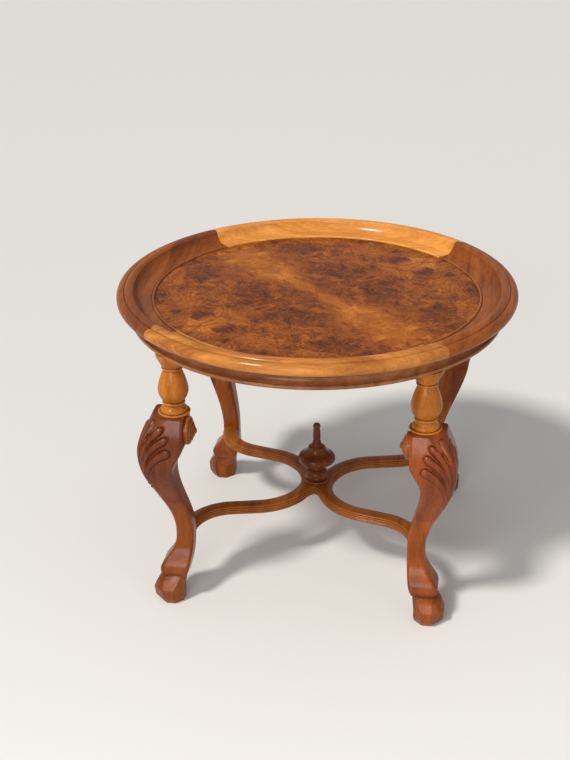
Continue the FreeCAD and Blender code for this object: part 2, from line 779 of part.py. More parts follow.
def make_stretcher(post, leg_pin):
    middle_z = bow_top_z - bow_thickness / 2 - 1.0
    joint_pins = []
    for side in (-1, 1):
        place = V(0, side * bow_dowel_spacing / 2, middle_z)
        joint_pins.append(dowel(place, V(1, 0, 0), bow_dowel_diameter, bow_dowel_length))
    screw = finial_screw()
    seat = Part.makeCylinder(finial_seat_radius + 0.4, far, V(0, 0, finial_seat_z))
    tenon_foot = V(0, 0, finial_seat_z - finial_tenon_length)
    tenon = Part.makeCylinder(finial_tenon_diameter / 2, far, tenon_foot)
    bow = make_bow().common(block((0, -far, 0), (far, far, far)))
    bow = bow.cut(at_all_corners(post) + at_all_corners(leg_pin) + joint_pins + [seat, tenon, screw])
    save("stretcher_bow_right", [bow])
    save("stretcher_bow_left", [bow.mirror(MIDDLE, V(1, 0, 0))])
    save("stretcher_joint_dowels", joint_pins)
    save("stretcher_leg_dowels", at_all_corners(leg_pin))
    save("finial", [finial()])
    save("finial_screw", [screw])


# ---------------------------------------------------------------- build
os.makedirs("parts", exist_ok=True)
make_top()
leg_pin = leg_dowel()
make_stretcher(make_legs(leg_pin), leg_pin)
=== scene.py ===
import bmesh
import bpy
import math
from mathutils import Matrix, Vector


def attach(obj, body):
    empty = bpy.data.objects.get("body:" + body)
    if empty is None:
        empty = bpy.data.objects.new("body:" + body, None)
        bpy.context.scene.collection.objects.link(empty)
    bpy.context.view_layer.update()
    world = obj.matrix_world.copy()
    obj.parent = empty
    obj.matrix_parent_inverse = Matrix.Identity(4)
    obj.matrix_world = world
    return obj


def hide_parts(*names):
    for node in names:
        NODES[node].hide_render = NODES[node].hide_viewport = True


# A round tray top tea table: lacquered wood on carved cabriole legs. Sizes are in
# millimetres, scaled to metres where a mesh is made. The front of the table faces -Y.

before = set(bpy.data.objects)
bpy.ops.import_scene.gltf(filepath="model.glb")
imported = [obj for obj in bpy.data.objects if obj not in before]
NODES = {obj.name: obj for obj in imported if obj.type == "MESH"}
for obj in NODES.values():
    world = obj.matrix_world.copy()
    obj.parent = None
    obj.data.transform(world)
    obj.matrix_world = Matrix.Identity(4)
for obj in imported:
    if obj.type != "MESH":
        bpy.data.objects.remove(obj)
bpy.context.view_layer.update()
MM = 0.001

TABLE_HEIGHT = 532.0            # floor to the crest of the tray's rim
TOP_RADIUS = 350.0
RIM_BOTTOM = 494.5
RIM_INNER = 284.0               # opening round the panel
RING_BOTTOM = 476.0             # moulded ring under the rim
RING_INNER = 262.0
LEFT_GLUE_LINE = 293.0          # joint between the two boards of the rim's left quarter
LEG_AXIS = 300.0 / math.sqrt(2)     # each leg's turning axis, along X and along Y
CORNERS = (     # name, side along X, side along Y
    ("back_right", 1, 1), ("back_left", -1, 1), ("front_left", -1, -1), ("front_right", 1, -1))
PLAIN = 0.5                     # the painted-light value of a surface that is neither groove nor edge: no painted shade or highlight
X, Y, Z = Vector((1, 0, 0)), Vector((0, 1, 0)), Vector((0, 0, 1))


# ------------------------------------------------------------------ profiles
def mix(a, b, t):
    return a + (b - a) * t


def between(a, b, t):
    return mix(a[0], b[0], t), mix(a[1], b[1], t)


def arc(a, middle, b, count):
    """Points from a to b on the circle through the middle point, without a itself."""
    (ax, ay), (mx, my), (bx, by) = a, middle, b
    d = 2 * (ax * (my - by) + mx * (by - ay) + bx * (ay - my))
    sa, sm, sb = ax * ax + ay * ay, mx * mx + my * my, bx * bx + by * by
    cx = (sa * (my - by) + sm * (by - ay) + sb * (ay - my)) / d
    cy = (sa * (bx - mx) + sm * (ax - bx) + sb * (mx - ax)) / d
    start = math.atan2(ay - cy, ax - cx)
    turn = math.atan2(by - cy, bx - cx) - start
    through = math.atan2(my - cy, mx - cx) - start
    turn %= math.tau
    if through % math.tau > turn:
        turn -= math.tau
    radius = math.hypot(ax - cx, ay - cy)
    steps = [start + turn * k / count for k in range(1, count + 1)]
    return [(cx + radius * math.cos(t), cy + radius * math.sin(t)) for t in steps]


def trace(start, *steps):
    """A profile of corner points (r, z) and arcs (middle, end, count), as a list of points."""
    points = [start]
    for step in steps:
        points += arc(points[-1], *step) if isinstance(step[0], tuple) else [step]
    return points


def round_end(radius, foot, top):
    """The arc from (radius, foot) to the axis at the top, with its centre on the axis."""
    sphere = (radius ** 2 + (top - foot) ** 2) / (2 * (top - foot))
    half = math.atan2(radius, foot - top + sphere) / 2
    return (sphere * math.sin(half), top - sphere + sphere * math.cos(half)), (0, top), 8


def refined(profile, step=1.5):
    """The profile with points added, so that no stretch is longer than the step."""
    points = [profile[0]]
    for a, b in zip(profile, profile[1:]):
        count = max(1, math.ceil(math.dist(a, b) / step))
        points += [between(a, b, k / count) for k in range(1, count + 1)]
    return points


def walk(points, index, step, reach):
    """The place a given way along a profile from one of its points, or its end."""
    place = points[index]
    while 0 <= index + step < len(points):
        index += step
        gap = math.dist(place, points[index])
        if gap >= reach:
            return between(place, points[index], reach / gap)
        reach -= gap
        place = points[index]
    return place


# These values set the painted light of the wood: painted shade in grooves, painted highlight on
# edges.
def creases(profile, reach=1.5):
    """How sharply the profile turns at each point: 0 in a groove, 0.5 where flat, 1 on an edge."""
    area = sum(a[0] * b[1] - b[0] * a[1] for a, b in zip(profile, profile[1:] + profile[:1]))
    values = []
    for index, (x, y) in enumerate(profile):
        back = walk(profile, index, -1, reach)
        ahead = walk(profile, index, 1, reach)
        dx, dy = ahead[0] - back[0], ahead[1] - back[1]
        lift = (x - (back[0] + ahead[0]) / 2) * dy - (y - (back[1] + ahead[1]) / 2) * dx
        lift *= math.copysign(1, area) / (math.hypot(dx, dy) or 1)
        values.append(min(1.0, max(0.0, PLAIN + lift / reach)))
    return values


# ------------------------------------------------------------------ meshes
def turned(profile, centre=(0, 0), start=0.0, end=360.0, count=96):
    """A profile turned about a vertical axis. An open sweep gets flat ends."""
    profile = refined(profile)
    whole = end - start >= 360.0
    rows = count if whole else count + 1
    verts, faces = [], []
    for i in range(rows):
        t = math.radians(start + (end - start) * i / count)
        verts += [(centre[0] + r * math.cos(t), centre[1] + r * math.sin(t), z) for r, z in profile]
    n = len(profile)
    for i in range(count):
        a, b = i * n, ((i + 1) % rows) * n
        for k in range(n if not whole else n - 1):
            m = (k + 1) % n
            faces.append((a + k, b + k, b + m, a + m))
    if not whole:
        faces.append(tuple(range(n)))
        faces.append(tuple(range((rows - 1) * n, rows * n))[::-1])
    return verts, faces, creases(profile) * rows


def grid(rows, shades):
    """A closed skin through rows of points, each row a closed ring, with flat ends."""
    n = len(rows[0])
    verts = [p for row in rows for p in row]
    faces = []
    for i in range(len(rows) - 1):
        for k in range(n):
            m = (k + 1) % n
            faces.append((i * n + k, i * n + m, (i + 1) * n + m, (i + 1) * n + k))
    faces.append(tuple(range(n))[::-1])
    faces.append(tuple(range((len(rows) - 1) * n, len(rows) * n)))
    return verts, faces, shades


def to_bmesh(verts, faces, shades):
    mesh = bpy.data.meshes.new("work")
    mesh.from_pydata([Vector(v) * MM for v in verts], [], faces)
    mesh.attributes.new("painted_light", "FLOAT", "POINT").data.foreach_set("value", shades)
    bm = bmesh.new()
    bm.from_mesh(mesh)
    bpy.data.meshes.remove(mesh)
    bmesh.ops.remove_doubles(bm, verts=bm.verts, dist=1e-6)
    bmesh.ops.recalc_face_normals(bm, faces=bm.faces)
    return bm


def cut_away(bm, point, normal):
    """Keeps what lies behind the plane and closes the cut."""
    geometry = bm.verts[:] + bm.edges[:] + bm.faces[:]
    cut = bmesh.ops.bisect_plane(
        bm, geom=geometry, dist=1e-7, plane_co=point, plane_no=normal, clear_outer=True)
    edges = [e for e in cut["geom_cut"] if isinstance(e, bmesh.types.BMEdge)]
    if edges:
        bmesh.ops.triangle_fill(bm, edges=edges, use_beauty=False, normal=normal)


def finish_piece(node, bm, material, sharp=32):
    """Makes the visible piece that stands for a CAD node."""
    bmesh.ops.recalc_face_normals(bm, faces=bm.faces)
    mesh = bpy.data.meshes.new(node)
    bm.to_mesh(mesh)
    bm.free()
    mesh.validate()
    mesh.polygons.foreach_set("use_smooth", [True] * len(mesh.polygons))
    mesh.set_sharp_from_angle(angle=math.radians(sharp))
    made = bpy.data.objects.new(node + "_look", mesh)
    bpy.context.scene.collection.objects.link(made)
    mesh.materials.append(material)
    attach(made, "root")
    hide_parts(node)


# ------------------------------------------------------------------ material helpers
GRAIN_DEPTH = 0.0004            # metres
WOOD_IOR, LACQUER_IOR = 1.45, 1.5
WOOD_SPECULAR = 0.08


def add(tree, kind, inputs=None, **settings):
    node = tree.nodes.new(kind)
    for key, value in settings.items():
        setattr(node, key, value)
    for key, value in (inputs or {}).items():
        if isinstance(value, bpy.types.NodeSocket):
            tree.links.new(value, node.inputs[key])
        else:
            node.inputs[key].default_value = value
    return node


def math_node(tree, operation, *values, clamp=False):
    inputs = dict(enumerate(values))
    return add(tree, "ShaderNodeMath", inputs, operation=operation, use_clamp=clamp).outputs[0]


def vector_node(tree, operation, *values):
    inputs = dict(enumerate(values))
    return add(tree, "ShaderNodeVectorMath", inputs, operation=operation).outputs[0]


def length_node(tree, vector):
    return add(tree, "ShaderNodeVectorMath", {0: vector}, operation="LENGTH").outputs["Value"]


def object_place(tree):
    return add(tree, "ShaderNodeTexCoord").outputs["Object"]


def ramp(tree, factor, stops):
    node = add(tree, "ShaderNodeValToRGB", {"Fac": factor})
    elements = node.color_ramp.elements
    elements[0].position, elements[0].color = stops[0][0], (*stops[0][1], 1)
    elements[1].position, elements[1].color = stops[-1][0], (*stops[-1][1], 1)
    for position, colour in stops[1:-1]:
        elements.new(position).color = (*colour, 1)
    return node.outputs[0]


def grey(value):
    return (value, value, value)


def blend_colour(tree, factor, a, b, mode="MIX"):
    node = add(tree, "ShaderNodeMix", data_type="RGBA", blend_type=mode)
    for index, value in ((0, factor), (6, a), (7, b)):
        if isinstance(value, bpy.types.NodeSocket):
            tree.links.new(value, node.inputs[index])
        else:
            node.inputs[index].default_value = value if index == 0 else (*value, 1)
    return node.outputs[2]


def noise(tree, vector, scale, detail, roughness, distortion=0.0):
    node = add(tree, "ShaderNodeTexNoise", {
        "Vector": vector, "Scale": scale, "Detail": detail, "Roughness": roughness,
        "Distortion": distortion})
    return node.outputs["Fac"]


def lacquer(tree, colour, height, roughness, bump, coat, coat_roughness):
    """The surface of lacquered wood. The gloss is mostly the lacquer's own coat."""
    relief = add(tree, "ShaderNodeBump", {
        "Height": height, "Strength": bump, "Distance": GRAIN_DEPTH})
    surface = add(tree, "ShaderNodeBsdfPrincipled", {
        "Base Color": colour, "Roughness": roughness, "Normal": relief.outputs[0],
        "IOR": WOOD_IOR, "Specular IOR Level": WOOD_SPECULAR, "Coat Weight": coat,
        "Coat Roughness": coat_roughness, "Coat IOR": LACQUER_IOR})
    add(tree, "ShaderNodeOutputMaterial", {"Surface": surface.outputs[0]})


def new_tree(name):
    material = bpy.data.materials.new(name)
    material.use_nodes = True
    material.node_tree.nodes.clear()
    return material, material.node_tree


def grain_frame(tree, along, offset):
    """Object coordinates turned so that the grain runs along local X."""
    turn = {"x": (0, 0, 0), "y": (0, 0, -math.pi / 2), "z": (0, math.pi / 2, 0)}[along]
    inputs = {"Vector": object_place(tree), "Rotation": turn, "Location": offset}
    return add(tree, "ShaderNodeMapping", inputs).outputs[0]


def stretched(tree, vector, along, across):
    node = add(tree, "ShaderNodeMapping", {"Vector": vector, "Scale": (along, across, across)})
    return node.outputs[0]


def centred(tree, value):
    return math_node(tree, "SUBTRACT", value, 0.5)


def painted_rim_shade(tree, colour, inner, outer, factor):
    """Tints the colour from one circle of the table top out to another: painted shade with a bluish
    painted sky reflection.
    """
    flat = vector_node(tree, "MULTIPLY", object_place(tree), (1, 1, 0))
    radius = length_node(tree, flat)
    spread = (outer - inner) * MM
    t = math_node(tree, "MULTIPLY_ADD", radius, 1 / spread, -inner * MM / spread, clamp=True)
    return blend_colour(tree, t, colour, blend_colour(tree, 1.0, colour, factor, "MULTIPLY"))


def wood(name, light, dark, along="z", seed=0.0, contrast=0.55, coat=0.22, roughness=0.34,
         streaks=0.75, with_painted_light=True, edge=None, shine=0.12):
    """Lacquered wood: growth rings, fine streaks and pores along the grain, painted shade in the
    grooves and painted highlight on the edges. The lightest and darkest colours are given."""
    material, tree = new_tree(name)
    base = grain_frame(tree, along, (seed * 0.37, seed * 0.113, seed * 0.071))

    def figure(along_scale, across_scale, **kind):
        return noise(tree, stretched(tree, base, along_scale, across_scale), 1.0, **kind)

    rings = figure(2.2, 26.0, detail=5.0, roughness=0.6, distortion=1.2)
    streak = figure(8.0, 240.0, detail=4.0, roughness=0.65)
    pores = figure(60.0, 1500.0, detail=2.0, roughness=0.5)
    patch = noise(tree, base, 7.0, detail=3.0, roughness=0.5)
    spread = math_node(tree, "MULTIPLY_ADD", rings, 2.0, -0.5, clamp=True)
    spread = math_node(tree, "MULTIPLY_ADD", centred(tree, streak), streaks, spread)
    spread = math_node(tree, "MULTIPLY_ADD", centred(tree, patch), 0.7, spread)
    middle = tuple(0.55 * a + 0.45 * b for a, b in zip(light, dark))
    low = 0.5 - 0.5 * contrast
    colour = ramp(tree, spread, [(low * 0.6, light), (0.5, middle), (1 - low * 0.5, dark)])
    pits = ramp(tree, pores, [(0.36, grey(0.55)), (0.46, grey(1.0))])
    colour = blend_colour(tree, 0.75, colour, pits, "MULTIPLY")
    # Where asked, painted shade towards the rim's outer edge.
    if edge:
        colour = painted_rim_shade(tree, colour, *edge)
    if with_painted_light:
        # Painted light from the mesh's attribute: painted shade in the grooves, painted highlight
        # on the edges.
        painted_light = add(tree, "ShaderNodeAttribute", attribute_name="painted_light").outputs["Fac"]
        groove_shade = ramp(tree, painted_light, [(0.06, grey(0.16)), (0.40, grey(1.0))])
        colour = blend_colour(tree, 1.0, colour, groove_shade, "MULTIPLY")
        edge_highlight = math_node(tree, "MULTIPLY_ADD", painted_light, 1.1, -0.70, clamp=True)
        pale = blend_colour(tree, 1.0, colour, (0.16, 0.10, 0.06), "ADD")
        colour = blend_colour(tree, edge_highlight, colour, pale)
    rough = math_node(tree, "MULTIPLY_ADD", streak, 0.16, roughness - 0.08)
    height = math_node(tree, "MULTIPLY_ADD", pores, 0.4, streak)
    lacquer(tree, colour, height, rough, bump=0.2, coat=coat, coat_roughness=shine)
    return material


# ------------------------------------------------------------------ the tray top
# The mouldings of the rim and of the ring, as points (distance from the middle, height). The
# middle and the end of an arc stand together.
RIM_BEAD = (RIM_INNER, 509.2), (286.5, 511.7), (289.0, 509.2)
BORDER = (290.0, 509.8), (307.0, 511.5)
COVE = (315.4, 518.8), (320.5, 528.8)
TOP_BEAD = (327.5, TABLE_HEIGHT), (336.5, 526.8)
GROOVE_EDGE = (337.4, 527.7)
BIG_ROUND = (TOP_RADIUS, 519.0), (341.5, 508.0)
RECESS = 316.0                  # shadow recess between the big round and the ring
UNDERSIDE = (328.0, 507.4), (RECESS, 503.0)
RING_FOOT = (323.6, RING_BOTTOM), (324.4, 477.2)
RING_BEAD = (327.0, 480.45), (324.4, 483.7)
RING_COVE = (325.0, 484.7), (319.6, 487.7), (317.0, RIM_BOTTOM)
QUARTER_STEPS = 120
RIM_SHARP = 28                  # degrees: a sharper bend shades as an edge


def rim_profile():
    return trace(
        (RIM_INNER, RIM_BOTTOM), RIM_BEAD[0], (*RIM_BEAD[1:], 12), *BORDER, (*COVE, 14),
        (*TOP_BEAD, 14), GROOVE_EDGE, (*BIG_ROUND, 28), (*UNDERSIDE, 12), (RECESS, RIM_BOTTOM),
    )


def ring_profile():
    return trace(
        (RING_INNER, RING_BOTTOM), *RING_FOOT, (*RING_BEAD, 12), RING_COVE[0],
        (*RING_COVE[1:], 10), (RING_INNER, RIM_BOTTOM),
    )


def quarter(profile, start):
    return to_bmesh(*turned(profile, start=start, end=start + 90, count=QUARTER_STEPS))


def rim_piece(node, start, material, keep=None):
    """A rim board from an angle round the table. A board of the left quarter keeps one side of
    the glue line: -1 the inner side, 1 the outer side."""
    bm = quarter(rim_profile(), start)
    if keep:
        cut_away(bm, Vector((-LEFT_GLUE_LINE * MM, 0, 0)), Vector((keep, 0, 0)))
    finish_piece(node, bm, material, RIM_SHARP)


def make_top():
    golden = (0.58, 0.220, 0.045), (0.28, 0.084, 0.014)
    front = wood("rim_front_wood", *golden, "x", 1.0, streaks=0.9)
    rim_piece("rim_front", 225, front)
    pale = (0.80, 0.34, 0.075), (0.52, 0.18, 0.030)
    rim_piece("rim_back", 45, wood("rim_back_wood", *pale, "x", 2.0, streaks=0.9))
    red = (0.33, 0.088, 0.014), (0.13, 0.028, 0.006)
    rim_piece("rim_right", -45, wood("rim_right_wood", *red, "y", 3.0))
    outer = wood("rim_outer_wood", (0.36, 0.098, 0.010), (0.17, 0.040, 0.004), "y", 4.0)
    rim_piece("rim_left_outer_board", 135, outer, 1)
    # The inner board darkens and turns bluer towards the outer mouldings: painted shade with a
    # painted sky reflection.
    inner = wood("rim_inner_wood", (0.31, 0.086, 0.014), (0.17, 0.040, 0.006), "y", 5.0,
                 edge=(306.0, 322.0, (0.74, 0.70, 1.2)))
    rim_piece("rim_left_inner_board", 135, inner, -1)
    brown = (0.38, 0.145, 0.055), (0.17, 0.058, 0.020)
    for index, (name, _, _) in enumerate(CORNERS):
        node = "moulded_ring_" + name
        bm = quarter(ring_profile(), 90 * index)
        material = wood(node + "_wood", *brown, "xy"[index % 2], 6.0 + index)
        finish_piece(node, bm, material, RIM_SHARP)


def give(made, material):
    made.data.materials.clear()
    made.data.materials.append(material)


# Light and dark patches of the burl: place along the two diagonals and reach, in metres, amount.
BURL_PATCHES = (
    ((0.05, 0.006), (0.07, 0.012), 0.22),
    ((0.15, 0.020), (0.05, 0.018), 0.16),
    ((0.225, 0.020), (0.04, 0.025), 0.16),
    ((0.040, 0.085), (0.05, 0.055), -0.12),
    ((0.172, 0.101), (0.035, 0.025), -0.14),
    ((0.232, 0.085), (0.040, 0.030), -0.20),
    ((0.015, 0.235), (0.025, 0.045), 0.22),
    ((0.036, 0.215), (0.009, 0.012), -0.30),
    ((0.080, 0.235), (0.008, 0.013), -0.26),
)
BURL_COLOURS = (
    (0.00, (0.045, 0.010, 0.001)), (0.20, (0.125, 0.025, 0.001)), (0.40, (0.245, 0.056, 0.002)),
    (0.60, (0.365, 0.098, 0.004)), (0.90, (0.580, 0.208, 0.020)))


def burl():
    """Burl veneer, book and butt matched: its figure mirrors on both diagonals. A light fan of
    straighter grain opens along one diagonal, with curled and mottled burl beside it."""
    material, tree = new_tree("burl_veneer")

    def maths(operation, *values):
        return math_node(tree, operation, *values)

    def plus(value, amount, base):
        return maths("MULTIPLY_ADD", value, amount, base)

    def warp(vector, scale, amount):
        inputs = {"Vector": vector, "Scale": scale, "Detail": 2.0}
        drift = add(tree, "ShaderNodeTexNoise", inputs).outputs["Color"]
        drift = vector_node(tree, "SUBTRACT", drift, (0.5, 0.5, 0.5))
        return vector_node(tree, "MULTIPLY_ADD", drift, (amount, amount, 0.0), vector)

    def blob(place, reach, amount):
        away = vector_node(tree, "SUBTRACT", curled, (*place, 0))
        away = vector_node(tree, "MULTIPLY", away, (1 / reach[0], 1 / reach[1], 0))
        square = maths("POWER", length_node(tree, away), 2.0)
        return maths("MULTIPLY", maths("EXPONENT", maths("MULTIPLY", square, -1.0)), amount)

    # u and w are the distances from the two diagonals.
    parts = add(tree, "ShaderNodeSeparateXYZ", {0: object_place(tree)}).outputs
    u, w = [
        maths("MULTIPLY", maths("ABSOLUTE", maths(sign, parts[0], parts[1])), math.sqrt(0.5))
        for sign in ("SUBTRACT", "ADD")]
    plain = add(tree, "ShaderNodeCombineXYZ", {0: u, 1: w}).outputs[0]
    warped = warp(plain, 14.0, 0.05)
    curled = warp(warped, 45.0, 0.022)

    mottle = centred(tree, noise(tree, curled, 48.0, 4.0, 0.62, 0.8))
    fine = centred(tree, noise(tree, curled, 210.0, 3.0, 0.6, 1.0))
    cloud = centred(tree, noise(tree, warped, 15.0, 2.0, 0.5, 0.4))

    # The fan: where it lies, and its rays out from the table's middle.
    radius = length_node(tree, plain)
    angle = plus(cloud, 1.1, maths("ARCTAN2", w, u))
    angle = plus(mottle, 0.5, angle)
    fan = maths("MINIMUM", plus(angle, -4.0, 1.9), plus(radius, -9.0, 2.6))
    fan = maths("MAXIMUM", maths("MINIMUM", fan, 1.0), 0.0)
    rays = add(tree, "ShaderNodeCombineXYZ", {
        0: maths("MULTIPLY", radius, 14.0), 1: maths("MULTIPLY", angle, 16.0)}).outputs[0]
    rays = centred(tree, noise(tree, rays, 1.0, 5.0, 0.68, 0.4))
    fan_part = plus(fine, 0.35, maths("MULTIPLY", rays, 1.3))
    fan_part = maths("ADD", plus(cloud, 0.5, fan_part), 0.10)

    # The burl beside it: mottle, fine grain and curls, with broad light and dark clouds.
    curls = maths("SINE", maths("MULTIPLY", noise(tree, curled, 17.0, 2.0, 0.5, 0.9), 95.0))
    curls = maths("MULTIPLY", curls, plus(radius, 3.6, 0.05))
    burl_part = plus(fine, 0.75, maths("MULTIPLY", mottle, 1.05))
    burl_part = plus(curls, 0.10, burl_part)
    burl_part = plus(cloud, 0.65, burl_part)

    light = plus(maths("SUBTRACT", fan_part, burl_part), fan, burl_part)
    light = maths("ADD", light, 0.38)
    for patch in BURL_PATCHES:
        light = maths("ADD", light, blob(*patch))
    colour = ramp(tree, light, BURL_COLOURS)
    lacquer(tree, colour, maths("ADD", mottle, fine), 0.22, bump=0.03, coat=0.12,
            coat_roughness=0.06)
    return material


def plain_wood(name, light, dark):
    """Unlacquered wood of the hidden pieces."""
    return wood(name, light, dark, "x", 11.0, 0.4, coat=0.0, roughness=0.6, with_painted_light=False)


def zinc():
    material, tree = new_tree("zinc_screws")
    marks = noise(tree, object_place(tree), 900.0, 4.0, 0.6)
    colour = ramp(tree, marks, [(0.3, (0.45, 0.42, 0.36)), (0.7, (0.66, 0.63, 0.57))])
    relief = add(tree, "ShaderNodeBump", {"Height": marks, "Strength": 0.3, "Distance": 0.0002})
    rough = math_node(tree, "MULTIPLY_ADD", marks, 0.3, 0.2)
    surface = add(tree, "ShaderNodeBsdfPrincipled", {
        "Base Color": colour, "Metallic": 1.0, "Roughness": rough, "Normal": relief.outputs[0]})
    add(tree, "ShaderNodeOutputMaterial", {"Surface": surface.outputs[0]})
    return material


def finish_cad_nodes():
    """The CAD nodes whose shapes stay as they are get their materials."""
    core = plain_wood("core_board", (0.50, 0.33, 0.17), (0.36, 0.22, 0.11))
    backing = plain_wood("backing", (0.22, 0.10, 0.04), (0.13, 0.055, 0.022))
    beech = plain_wood("beech", (0.60, 0.40, 0.22), (0.46, 0.28, 0.14))
    for material, names in (
        (burl(), ["burl_leaf_" + side for side in ("front", "right", "back", "left")]),
        (core, ["panel_core"]),
        (backing, ["panel_backing_veneer"]),
        (beech, ["rim_joint_dowels", "ring_joint_dowels", "stretcher_joint_dowels",
                 "stretcher_leg_dowels"]),
        (zinc(), ["top_screws", "finial_screw"]),
    ):
        for name in names:
            give(NODES[name], material)


# ------------------------------------------------------------------ the sawn legs
# Heights, then distances of the outer and of the inner faces from the leg's axis.
KNEE_TOP, KNEE_ROUND, KNEE_BULGE, KNEE_FLAT, KNEE_HOLLOW = 366.0, 325.0, 306.0, 320.0, 268.0
ANKLE, CUFF_TOP, CUFF = 131.0, 65.0, 52.5
KNEE_TOP_OUT, KNEE_OUT, KNEE_IN, HOLLOW_IN = 36.0, 54.5, 22.5, 2.4
ANKLE_OUT, ANKLE_IN, CUFF_OUT, CUFF_IN = 6.5, 24.3, 32.0, 14.5
CUFF_TUCK = 3.5                 # how far the cuff draws in at its underside
LEG_CORNER, KNEE_CORNER, KNEE_TOP_CORNER = 6.0, 11.0, 32.0
GLUE = 24.0                     # outer faces of the post, under the glued blocks
HOOF_STAGES = (     # height, outer faces, inner faces, cut corners
    (CUFF + 1, 27.5, 11.5, 7.0), (40.25, 38.35, 9.75, 13.05), (28.0, 45.0, 8.0, 18.0),
    (9.8, 43.4, 8.0, 18.0), (0.0, 37.0, 6.5, 16.0))
HOOF_CUT = 0.85                 # the other three corners' cuts, as a share of the outer one's
HOOF_STEPS = 8
CUFF_SHADOW = 3.5               # how far down the painted shade in the groove under the cuff reaches
EDGE_HIGHLIGHT = 0.72               # painted highlight on the edges of the cuff and of the knee's top


def ease(t, swing=1.0):
    """From 0 to 1 with a level start and end. A swing over 1 starts later."""
    return (1 - math.cos(math.pi * max(0.0, t) ** swing)) / 2


def outer_line(z):
    if z >= KNEE_BULGE:
        t = (KNEE_TOP - z) / (KNEE_TOP - KNEE_BULGE)
        return mix(KNEE_TOP_OUT, KNEE_OUT, math.sin(math.pi / 2 * t))
    if z >= ANKLE:
        return mix(KNEE_OUT, ANKLE_OUT, ease((KNEE_BULGE - z) / (KNEE_BULGE - ANKLE), 1.05))
    if z >= CUFF_TOP:
        return mix(ANKLE_OUT, CUFF_OUT, ease((ANKLE - z) / (ANKLE - CUFF_TOP), 1.65))
    return mix(CUFF_OUT, CUFF_OUT - CUFF_TUCK, ((CUFF_TOP - z) / (CUFF_TOP - CUFF)) ** 2)


def inner_line(z):
    if z >= KNEE_FLAT:
        return KNEE_IN
    if z >= KNEE_HOLLOW:
        return mix(KNEE_IN, HOLLOW_IN, ease((KNEE_FLAT - z) / (KNEE_FLAT - KNEE_HOLLOW), 0.88))
    if z >= ANKLE:
        return mix(HOLLOW_IN, ANKLE_IN, ease((KNEE_HOLLOW - z) / (KNEE_HOLLOW - ANKLE)))
    return mix(ANKLE_IN, CUFF_IN, ((ANKLE - z) / (ANKLE - CUFF)) ** 2.55)


def corner_lines(z):
    """Rounding of the outer corner and of the other three, at a height."""
    t = min(1.0, max(0.0, (z - ANKLE) / (KNEE_HOLLOW - ANKLE)))
    rounding = max(0.0, (z - KNEE_ROUND) / (KNEE_TOP - KNEE_ROUND))
    return mix(mix(LEG_CORNER, KNEE_CORNER, ease(t)), KNEE_TOP_CORNER, rounding), LEG_CORNER


def outward(z):
    """Direction of the knee's skin at a height: its outward and its upward part."""
    lean = outer_line(z - 0.5) - outer_line(z + 0.5)
    size = math.hypot(1.0, lean)
    return 1.0 / size, lean / size


# The carved shell on each outer corner. A place on it is (way round the leg from the corner's
# ridge, height). Each lobe runs from the tail, round its bend, to the middle of its round tip,
# and a thin fillet stands between each pair of lobes.
SHELL_TAIL = (1.5, 250.0)
SHELL_FOOT, SHELL_SIDE = 226.0, 60.0    # where the carved part ends, below and at the sides
LOBES = (       # bend, tip, half width of the tip, how late it widens
    ((0.0, 315.0), (0.0, 356.0), 6.9, 1.25),
    ((2.0, 315.0), (21.5, 347.5), 7.5, 1.10),
    ((5.0, 310.0), (37.5, 332.0), 7.5, 0.95),
    ((13.0, 295.0), (46.5, 310.5), 7.8, 0.75),
)
LOBE_TOP, GROUND_DEPTH, FILLET_TOP = 2.7, 1.7, 0.8
LOBE_STEPS, FILLET_STEPS = 20, 18
GROUND_FADE, GROOVE_SHADE_WIDTH = 1.5, 0.7    # how fast the ground rises, the width of the painted shade along each groove
FILLET_GAP, FILLET_START, FILLET_HALF = 2.2, 3, 1.35
TAIL_BEADS = ((0.0, 245.5, 3.2), (0.0, 236.5, 2.5))     # place, radius
BEAD_TOP = 1.5
FAR = 9.0                       # farther from an edge, and lower, than any place on the carving


def lobe_line(bend, tip, half, late):
    """Points of a lobe's middle line: way round, height, half width and rise."""
    tail = (SHELL_TAIL[0] if tip[0] else 0.0, SHELL_TAIL[1])
    line = []
    for k in range(LOBE_STEPS + 1):
        t = k / LOBE_STEPS
        s, z = between(between(tail, bend, t), between(bend, tip, t), t)
        line.append((s, z, mix(0.6, half, t ** late), mix(0.35, 1.0, t ** 0.7)))
    return line


def fillet_line(a, b):
    """The fillet along the upper edge of the lower lobe, or midway where they are close."""
    line = []
    for upper, lower in list(zip(a, b))[FILLET_START:FILLET_STEPS + 1]:
        (s0, z0, half0, _), (s1, z1, half1, rise) = upper, lower
        gap = math.hypot(s0 - s1, z0 - z1)
        reach = min(half1 + FILLET_GAP, (gap + half1 - half0) / 2) / gap
        line.append((mix(s1, s0, reach), mix(z1, z0, reach), mix(0.3, FILLET_HALF, rise), rise))
    return line


LOBE_LINES = [lobe_line(*lobe) for lobe in LOBES]
FILLET_LINES = [fillet_line(a, b) for a, b in zip(LOBE_LINES, LOBE_LINES[1:])]
# Each line with the height of its back, how round the back is, and how much painted highlight its
# back gets.
SHELL_SHAPES = (
    *[(line, LOBE_TOP, 0.5, 0.10) for line in LOBE_LINES],
    *[(line, FILLET_TOP, 1.0, 0.45) for line in FILLET_LINES])
CARVED_CORNER_STEPS, CARVED_FACE_STEPS, CORNER_STEPS, FACE_STEPS = 20, 66, 6, 8


def nearest(line, s, z):
    """Distance to a tapered line in half widths, the half width and the rise there."""
    best = (1e9, 1.0, 1.0)
    for (s0, z0, half0, rise0), (s1, z1, half1, rise1) in zip(line, line[1:]):
        ds, dz = s1 - s0, z1 - z0
        t = min(1.0, max(0.0, ((s - s0) * ds + (z - z0) * dz) / (ds * ds + dz * dz)))
        half = mix(half0, half1, t)
        gap = math.hypot(s - s0 - ds * t, z - z0 - dz * t) / half
        if gap < best[0]:
            best = (gap, half, mix(rise0, rise1, t))
    return best


